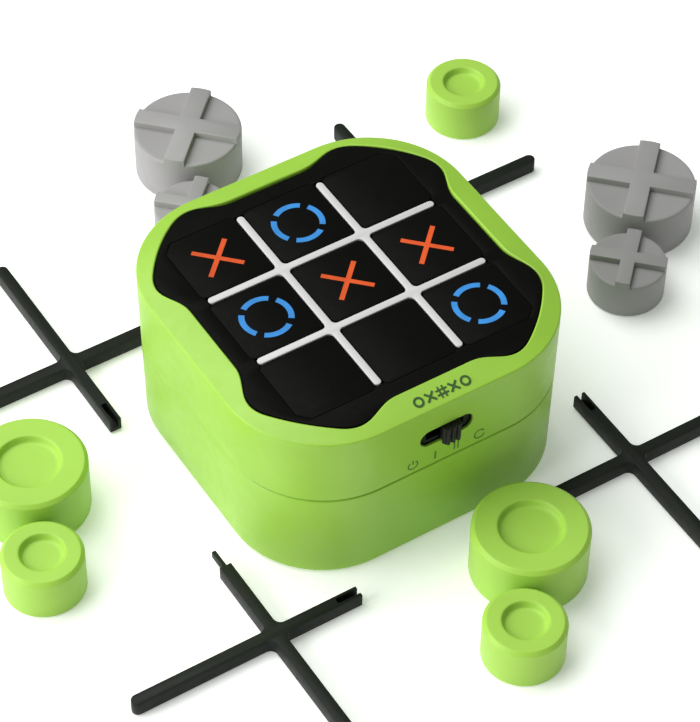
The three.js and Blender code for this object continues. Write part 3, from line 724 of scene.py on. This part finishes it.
def bottom_shell():
    """The lower case half with its battery bay, screw columns and sound holes."""
    low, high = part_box("door_screw")
    screw_y = (low[1] + high[1]) / 2
    low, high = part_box("speaker")
    speaker_y = (low[1] + high[1]) / 2
    half_wall = CASE_WALL / 2 + GAP / 2
    rings = [case_ring(drop, inset) for inset, drop in reversed(rounding(CASE_BASE_EDGE, 6))]
    rings += [case_ring(height) for height in LOWER_RINGS]
    rings += [case_ring(PARTING_LOW - PARTING_BEVEL), case_ring(PARTING_LOW, PARTING_BEVEL)]
    rings += [case_ring(PARTING_LOW, half_wall), case_ring(LIP_TOP, half_wall)]
    rings += [case_ring(LIP_TOP, CASE_WALL), case_ring(CASE_WALL, CASE_WALL)]
    added, cuts = battery_bay(screw_y)
    added += [post(x, y, COLUMN_RADIUS, 1 * MM, PARTING_HIGH) for x, y in SCREW_PLACES]
    for x, y in SCREW_PLACES:
        cuts.append(post(x, y, SCREW_HEAD_HOLE, -1 * MM, SCREW_SEAT))
        cuts.append(post(x, y, SCREW_HOLE, SCREW_SEAT - 1 * MM, 30 * MM))
    sound_holes = [(0, speaker_y)]
    for hole in range(6):
        angle = hole * math.pi / 3
        sound_holes.append((SOUND_CIRCLE * math.cos(angle), speaker_y + SOUND_CIRCLE * math.sin(angle)))
    cuts += [post(x, y, SOUND_HOLE, -1 * MM, 3 * MM, 20) for x, y in sound_holes]
    shell = combine(combine(from_rings(rings), added, "UNION"), cuts, "DIFFERENCE")
    piece("visual_bottom_shell", shell, green, "console", ["bottom_shell"], 28)


def panel_face():
    """The panel's face with its nine openings, and grooves for the white grid.

    The grooves are cut one by one, each a step higher or lower than the last, so no two faces coincide.
    """
    half, corner, clip = KEY_HALF + KEY_GAP, KEY_CORNER + KEY_GAP, KEY_CLIP + KEY_GAP
    openings = [key_outline(column, row, half, corner, clip) for column, row in CELLS]
    face = slab([panel_outline(), *openings], PANEL_LOW, PANEL_TOP, 0.05 * MM)
    reach = LINE_HALF_LENGTH + GAP
    groove = LINE_WIDTH / 2 + GAP
    crossing = LINE_WIDTH / 2 + LINE_FLARE + GAP
    low, high = PANEL_TOP - 0.95 * MM, PANEL_TOP + 1 * MM
    step = 0.02 * MM
    for side in (-GRID_PITCH / 2, GRID_PITCH / 2):
        along_x = block((-reach, side - groove, low), (reach, side + groove, high))
        along_y = block((side - groove, -reach, low - step), (side + groove, reach, high + step))
        face = combine(combine(face, [along_x], "DIFFERENCE"), [along_y], "DIFFERENCE")
        for other in (-GRID_PITCH / 2, GRID_PITCH / 2):
            near = (side - crossing, other - crossing, low + step)
            far = (side + crossing, other + crossing, high - step)
            face = combine(face, [block(near, far)], "DIFFERENCE")
    return face


def panel_flange():
    """The flange behind the panel's face, which reaches under the rim."""
    grow, limit, inner, corner, low = 1.04, 39.3 * MM, 32.6 * MM, 6 * MM, 43.6 * MM
    outline = [[max(-limit, min(limit, value * grow)) for value in point] for point in panel_outline()]
    return slab([outline, rectangle(-inner, inner, -inner, inner, corner)], low, PANEL_LOW - 0.01 * MM)


def panel():
    mesh = together([panel_face(), panel_flange()])
    piece("visual_panel", mesh, panel_black, "console", ["panel"])


def grid_outlines():
    """The grid's outer edge and the edge of its middle square, with flared crossings and round arm ends."""
    half = LINE_WIDTH / 2
    middle = GRID_PITCH / 2
    tip = LINE_HALF_LENGTH - half
    inner = middle - half - LINE_FLARE
    outer = middle + half + LINE_FLARE
    quarter = arc(tip, -middle, half, -90, 90, 10)
    quarter += arc(outer, -inner, LINE_FLARE, 270, 180, 6)
    quarter += arc(outer, inner, LINE_FLARE, 180, 90, 6)
    quarter += arc(tip, middle, half, -90, 90, 10)
    quarter += arc(outer, outer, LINE_FLARE, 270, 180, 6)
    hole = arc(inner, inner, LINE_FLARE, 0, 90, 6)
    return [quarter_turns(quarter), quarter_turns(hole)]


def grid_insert():
    low, high = PANEL_TOP - 0.65 * MM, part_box("grid_insert")[1][2]
    mesh = slab(grid_outlines(), low, high, 0.18 * MM, 3)
    piece("visual_grid_insert", mesh, white, "console", ["grid_insert"])


def key_cap(number, column, row):
    """A key's face, the rim that keeps it under the panel, and the plunger over its switch."""
    name = f"key_cap_{number}"
    low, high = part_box(name)
    cap = slab([key_outline(column, row, KEY_HALF, KEY_CORNER, KEY_CLIP)], KEY_LOW, high[2], 0.04 * MM)
    rim_outline = key_outline(column, row, KEY_HALF + 0.6 * MM, KEY_CORNER, KEY_CLIP + 0.2 * MM)
    rim = slab([rim_outline], KEY_LOW, 44.7 * MM, 0.1 * MM, 1)
    aside, half, top = 7.4 * MM, 1.2 * MM, 44.2 * MM
    x = column * GRID_PITCH + (-aside if column > 0 else aside)
    y = row * GRID_PITCH + (-aside if row > 0 else aside)
    plunger = bevelled(block((x - half, y - half, low[2]), (x + half, y + half, top)), 0.2 * MM)
    piece(f"visual_{name}", together([cap, rim, plunger]), smoked, f"key_{number}", [name])


def x_mark(low, high):
    """Two crossed strokes."""
    half, reach = 0.6 * MM, 6.3 * MM
    outline = quarter_turns([(reach, -half), (reach, half), (half, half)])
    mesh = slab([outline], low, high, 0.02 * MM, 1)
    mesh.transform(Matrix.Rotation(math.pi / 4, 4, "Z"))
    return mesh


def o_mark(low, high):
    """A ring in four strokes."""
    outer, inner, gap = 6.4 * MM, 5.0 * MM, 9.5
    outlines = []
    for quarter in range(4):
        start, end = 90 * quarter - 45 + gap, 90 * quarter + 45 - gap
        outlines.append(arc(0, 0, outer, start, end, 16) + arc(0, 0, inner, end, start, 16))
    return slab(outlines, low, high, 0.02 * MM, 1)


def mark(number, column, row, symbol):
    """A lit X or O, flush in the key's face."""
    low, high = PANEL_TOP - 0.2 * MM, PANEL_TOP + 0.03 * MM
    draw, material = (x_mark, orange) if symbol == "X" else (o_mark, blue)
    mesh = draw(low, high)
    mesh.transform(Matrix.Translation((column * GRID_PITCH, row * GRID_PITCH, 0)))
    piece(f"lit_{symbol.lower()}_{number}", mesh, material, f"key_{number}", ())


def front_face(mesh, x, z):
    """Lays a flat mesh, drawn in X and Y, on the drafted front wall at a height."""
    draft = math.atan2(CASE_HALF_TOP - CASE_HALF_BASE, CASE_TOP)
    half = CASE_HALF_BASE + (CASE_HALF_TOP - CASE_HALF_BASE) * z / CASE_TOP
    stand = Matrix.Rotation(math.pi / 2 + draft, 4, "X")
    mesh.transform(Matrix.Translation((x, -half, z)) @ stand)
    return mesh


def ring_stroke(radius, width, start, end):
    """Part of a ring, between two angles in degrees."""
    outer, inner = radius + width / 2, radius - width / 2
    return arc(0, 0, outer, start, end, 20) + arc(0, 0, inner, end, start, 20)


def bar_stroke(length, width, x=0.0, y=0.0):
    left, right, low, high = x - width / 2, x + width / 2, y - length / 2, y + length / 2
    return [(left, low), (right, low), (right, high), (left, high)]


def switch_icons():
    """Generic printed marks under the switch: off, one bar, two bars and a ring."""
    line = 0.4 * MM
    tall = 2.6 * MM
    drawings = [
        [ring_stroke(1.25 * MM, line, 125, 415), bar_stroke(1.3 * MM, line, 0, 0.95 * MM)],
        [bar_stroke(tall, 0.5 * MM)],
        [bar_stroke(tall, line, -0.5 * MM), bar_stroke(tall, line, 0.5 * MM)],
        [ring_stroke(1.35 * MM, line, 30, 340)],
    ]
    for number, (strokes, x) in enumerate(zip(drawings, ICON_PLACES), 1):
        mesh = front_face(slab(strokes, -0.1 * MM, 0.03 * MM), x, ICON_HEIGHT)
        piece(f"switch_icon_{number}", mesh, print_icon, "console", ())


def small_grid(half_length, spacing, half):
    """Two bars across two bars, as an outline and the edge of the square they enclose."""
    near, far = spacing - half, spacing + half
    side = [(far, -far), (half_length, -far), (half_length, -near), (far, -near)]
    side += [(far, near), (half_length, near), (half_length, far)]
    return [quarter_turns(side), quarter_turns([(near, near)])]


def rim_print():
    """Plain marks in a row on the front of the rim's slope: ring, cross, small grid, cross, ring."""
    half = 0.26 * MM
    radius = 1.05 * MM
    arm = 1.55 * MM
    low, high = -0.1 * MM, 0.02 * MM
    drawings = [slab(small_grid(1.45 * MM, 0.55 * MM, 0.2 * MM), low, high)]
    for side in (-1, 1):
        cross = slab([quarter_turns([(arm, -half), (arm, half), (half, half)])], low, high)
        place = Matrix.Translation((side * PRINT_PITCH, 0, 0))
        cross.transform(place @ Matrix.Rotation(math.pi / 4, 4, "Z"))
        x = side * 2 * PRINT_PITCH
        edges = [arc(x, 0, edge, 0, 354, 59) for edge in (radius + half, radius - half)]
        drawings += [cross, slab(edges, low, high)]
    mesh = together(drawings)
    slope = math.atan2(BAND_DROP, BAND_WIDTH)
    height = band_height(-math.pi / 2, PRINT_PLACE)
    mesh.transform(Matrix.Translation((0, -PRINT_PLACE, height)) @ Matrix.Rotation(slope, 4, "X"))
    piece("rim_print", mesh, print_dark, "console", ())


def switch_plate():
    """The black plate behind the window, with the channel that the knob's stem slides in."""
    low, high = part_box("switch_plate")
    half_x, half_z = high[0], (high[2] - low[2]) / 2
    outline = rectangle(-half_x, half_x, -half_z, half_z, 1 * MM)
    channel = rectangle(-5 * MM, 5 * MM, -1.4 * MM, 1.4 * MM, 0.4 * MM)
    plate = slab([outline, channel], 0, high[1] - low[1], 0.1 * MM)
    plate.transform(Matrix.Translation((0, high[1], SLOT_HEIGHT)) @ Matrix.Rotation(math.pi / 2, 4, "X"))
    piece("visual_switch_plate", plate, knob_black, "console", ["switch_plate"])


def switch_knob():
    """A thumb pad with three ribs outside the wall, on a core and a stem that pass through the window."""
    low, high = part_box("switch_knob")
    middle = (low[0] + high[0]) / 2
    half = (high[0] - low[0]) / 2
    back = -CASE_HALF_TOP + SLOT_WALL
    pad_back = low[1] + 1.35 * MM
    pitch = 2 * (half - KNOB_SLOPE) / 3
    rib = 0.38 * pitch
    outline = [(half, pad_back), (-half, pad_back), (KNOB_SLOPE - half, low[1] + rib)]
    for step in (-1, 0, 1):
        outline += arc(step * pitch, low[1] + rib, rib, 180, 360, 8)
    outline.append((half - KNOB_SLOPE, low[1] + rib))
    pad = slab([[(x + middle, y) for x, y in outline]], low[2], high[2], 0.15 * MM)
    core = block((low[0], pad_back - 0.2 * MM, high[2] - KNOB_HEIGHT), (high[0], back, high[2]))
    stem = block((middle - MM, back - 0.5 * MM, SLOT_HEIGHT - MM), (middle + MM, high[1], SLOT_HEIGHT + MM))
    knob = together([pad, bevelled(core, 0.1 * MM), bevelled(stem, 0.1 * MM)])
    piece("visual_switch_knob", knob, knob_black, "switch", ["switch_knob"])


# ---------------------------------------------------------------- tokens

def fillet(x, y, radius, start, end):
    """Section points (radius, height) round a fillet, start to end in degrees."""
    return arc(x, y, radius, start, end, 4)


def token_foot(radius, hollow_radius, hollow_depth):
    """A token's section from the middle of the hollow's roof, down its wall and out to the side."""
    rim = 0.35 * MM
    wall = [(0, hollow_depth), (hollow_radius - 0.8 * MM, hollow_depth)]
    wall += [(hollow_radius - 0.35 * MM, hollow_depth - 0.4 * MM), (hollow_radius, 0.3 * MM)]
    wall += [(hollow_radius + 0.15 * MM, 0), (radius - rim - 0.5 * MM, 0)]
    return wall + fillet(radius - rim, rim, rim, 270, 360)


def o_top(radius, top):
    """The O token's section from its side to the middle: a chamfered rim and a dished recess."""
    chamfer, soft, depth, dish = 0.9 * MM, 0.3 * MM, 1.5 * MM, 1.1 * MM
    edge = radius * O_RECESS_SHARE
    section = fillet(radius - soft, top - chamfer - 0.12 * MM, soft, 0, 45)
    section += fillet(radius - chamfer - 0.12 * MM, top - soft, soft, 45, 90)
    section += [(radius - chamfer - 0.9 * MM, top), (edge + 0.5 * MM, top)]
    for step in range(11):
        share = step / 10
        section.append((edge - dish * share, top - depth * (share * share * (3 - 2 * share))))
    return section + [(edge - dish - 0.8 * MM, top - depth), (0, top - depth)]


def x_top(radius, deck):
    """The X token's section from its side to the middle of its deck."""
    soft = 0.55 * MM
    section = fillet(radius - soft, deck - soft, soft, 0, 90)
    return section + [(radius - 1.3 * MM, deck), (0, deck)]


def cross_bars(half_width, reach, low, high, edge):
    """A raised X whose arms end on a circle, with rounded top edges."""
    rings = []
    for height, inset in ((low, 0.0), (high - edge, 0.0), (high - 0.3 * edge, 0.3 * edge), (high, edge)):
        half = half_width - inset
        limit = reach - inset
        end = math.degrees(math.asin(half / limit))
        arm = arc(0, 0, limit, -end, end, 8) + [(half, half)]
        rings.append([(x, y, height) for x, y in quarter_turns(arm)])
    mesh = from_rings(rings)
    mesh.transform(Matrix.Rotation(math.pi / 4, 4, "Z"))
    return mesh


def token(name):
    """An O or X token, hollow underneath so that a large one nests over a small one."""
    low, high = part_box(name)
    middle = [(a + b) / 2 for a, b in zip(low, high)]
    radius = (high[1] - low[1]) / 2
    hollow = LARGE_HOLLOW if "_large_" in name else SMALL_HOLLOW
    foot = token_foot(radius, *hollow)
    if "_o_" in name:
        mesh = turned(foot + o_top(radius, high[2]))
        material, slot = token_green, "green_plastic"
    else:
        deck = high[2] - X_RISE
        body = turned(foot + x_top(radius, deck))
        bars = cross_bars(radius * X_ARM_SHARE, radius - 0.01 * MM, deck - 1.2 * MM, high[2], 0.3 * MM)
        mesh = together([body, bars])
        material, slot = token_grey, "grey_token"
    mesh.transform(Matrix.Translation((middle[0], middle[1], 0)))
    piece(f"visual_{name}", mesh, material, f"{name}_body", [name], 30)


# ---------------------------------------------------------------- crosses

def cross_outline():
    """Two plain outer arms with round ends, a forked arm and a tabbed arm, with filleted corners."""
    half = STICK_WIDTH / 2
    centre = half + STICK_FLARE
    outline = [(STICK_INNER, -half), (STICK_INNER, half)]
    outline += arc(centre, centre, STICK_FLARE, 270, 180, 6)
    outline += [(half, STICK_INNER), (-half, STICK_INNER)]
    outline += arc(-centre, centre, STICK_FLARE, 360, 270, 6)
    outline += arc(half - STICK_OUTER, 0, half, 90, 270, 12)
    outline += arc(-centre, -centre, STICK_FLARE, 90, 0, 6)
    outline += arc(0, half - STICK_OUTER, half, 180, 360, 12)
    outline += arc(centre, -centre, STICK_FLARE, 180, 90, 6)
    return outline


def grid_cross(name, quarter, x, y):
    """A quarter of the loose playing grid, turned to its place."""
    body = slab([cross_outline()], 0, STICK_HEIGHT, 0.25 * MM)
    half = FORK_SLOT / 2
    slot_outline = rectangle(STICK_INNER - TAB_LENGTH - 0.6 * MM, STICK_INNER + 2 * MM, -half, half, 0.5 * MM)
    slot = slab([slot_outline], FORK_FLOOR, STICK_HEIGHT + 1 * MM)
    body = combine(body, [slot], "DIFFERENCE")
    half = TAB_WIDTH / 2
    tab = block((-half, STICK_INNER - 0.5 * MM, TAB_LOW), (half, STICK_INNER + TAB_LENGTH, TAB_HIGH))
    mesh = together([body, bevelled(tab, 0.2 * MM)])
    mesh.transform(Matrix.Translation((x, y, 0)) @ Matrix.Rotation(quarter * math.pi / 2, 4, "Z"))
    piece(f"visual_{name}", mesh, stick_black, f"{name}_body", [name], 30)


def cross_centre(name, quarter):
    """The junction's place: each arm's end is a known reach from it."""
    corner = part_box(name)[0]
    outer, inner, tab = STICK_OUTER, STICK_INNER, STICK_INNER + TAB_LENGTH
    reach_x = (outer, tab, inner, outer)[quarter]
    reach_y = (outer, outer, tab, inner)[quarter]
    return corner[0] + reach_x, corner[1] + reach_y


# ---------------------------------------------------------------- CAD nodes that stay

def dress(name, material, edge=0.0):
    """Gives a CAD node its material, and rounds its edges with a modifier."""
    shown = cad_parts[name]
    shown.data.materials.clear()
    shown.data.materials.append(material)
    if edge:
        step = shown.modifiers.new("edge", "BEVEL")
        step.width = edge
        step.segments = 2
        step.limit_method = "ANGLE"
        step.angle_limit = math.radians(35)


def dress_inside():
    dress("main_board", board_green)
    dress("light_baffle", white, 0.1 * MM)
    dress("slide_switch", steel, 0.15 * MM)
    dress("speaker", dark_plastic, 0.15 * MM)
    dress("battery_door", green, 0.12 * MM)
    dress("door_screw", steel, 0.06 * MM)
    dress("contacts_left", steel)
    dress("contacts_right", steel)
    for number in range(1, 4):
        dress(f"cell_{number}", sleeve, 0.2 * MM)
    for number in range(1, 5):
        dress(f"case_screw_{number}", steel, 0.08 * MM)
    for number in range(1, 10):
        dress(f"light_guide_{number}", guide_clear, 0.06 * MM)


# ---------------------------------------------------------------- camera, floor and light

def camera():
    """Long lens from the front left, well above the board."""
    azimuth, elevation, roll = math.radians(32.81), math.radians(48.0), math.radians(0.94)
    distance = 0.72
    target = Vector((3.7 * MM, 4.2 * MM, 13.1 * MM))
    level = math.cos(elevation)
    ahead = Vector((math.sin(azimuth) * level, math.cos(azimuth) * level, -math.sin(elevation)))
    data = bpy.data.cameras.new("camera")
    data.sensor_width = 36
    data.lens = 150.2
    data.clip_end = 20
    shown = bpy.data.objects.new("camera", data)
    bpy.context.scene.collection.objects.link(shown)
    facing = ahead.to_track_quat("-Z", "Y").to_matrix().to_4x4()
    place = Matrix.Translation(target - ahead * distance)
    shown.matrix_world = place @ facing @ Matrix.Rotation(roll, 4, "Z")
    bpy.context.scene.camera = shown


def floor():
    """A plain pale floor, kept out of the model."""
    mesh = block((-3, -3, -0.01), (3, 3, -0.0002))
    shown = holder(mesh)
    shown.name = "floor"
    nodes = Nodes("floor_pale")
    tone = nodes.spread(nodes.noise(3, 2), 0.0, 1.0)
    pale = nodes.mix(tone, (0.96, 0.96, 0.96, 1), (0.98, 0.98, 0.98, 1))
    nodes.link(pale, nodes.shader.inputs["Base Color"])
    nodes.shader.inputs["Roughness"].default_value = 0.9
    nodes.shader.inputs["Emission Color"].default_value = (1, 1, 1, 1)
    nodes.shader.inputs["Emission Strength"].default_value = 0.22
    mesh.materials.append(nodes.material)


def area_light(name, place, size, power):
    """A soft light at a place, aimed at the middle of the set."""
    data = bpy.data.lights.new(name, "AREA")
    data.shape = "RECTANGLE"
    data.size, data.size_y = size
    data.energy = power
    shown = bpy.data.objects.new(name, data)
    bpy.context.scene.collection.objects.link(shown)
    place = Vector(place)
    aim = (Vector((0, 0, 0.02)) - place).to_track_quat("-Z", "Y").to_matrix().to_4x4()
    shown.matrix_world = Matrix.Translation(place) @ aim


def lighting():
    """Soft studio light: one panel from the left, one above, and a dim surround."""
    bpy.context.scene.view_settings.view_transform = "Standard"
    world = bpy.data.worlds.new("studio")
    bpy.context.scene.world = world
    world.use_nodes = True
    backdrop = world.node_tree.nodes["Background"]
    backdrop.inputs["Color"].default_value = (0.86, 1, 0.82, 1)
    backdrop.inputs["Strength"].default_value = 0.26
    area_light("key_left", (-1.1, 0.15, 0.55), (1.0, 0.8), 13.5)
    area_light("top_soft", (-0.25, 0.6, 1.3), (1.2, 1.2), 18)


# ---------------------------------------------------------------- the set

camera()
floor()
lighting()

top_shell()
bottom_shell()
panel()
grid_insert()
for number, (column, row) in enumerate(CELLS, 1):
    key_cap(number, column, row)
    symbol = BOARD[1 - row][column + 1]
    if symbol != ".":
        mark(number, column, row, symbol)
switch_plate()
switch_knob()
switch_icons()
rim_print()
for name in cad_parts:
    if name.startswith("token_"):
        token(name)
for quarter, place in enumerate(("front_left", "front_right", "back_right", "back_left")):
    name = f"cross_{place}"
    grid_cross(name, quarter, *cross_centre(name, quarter))
dress_inside()
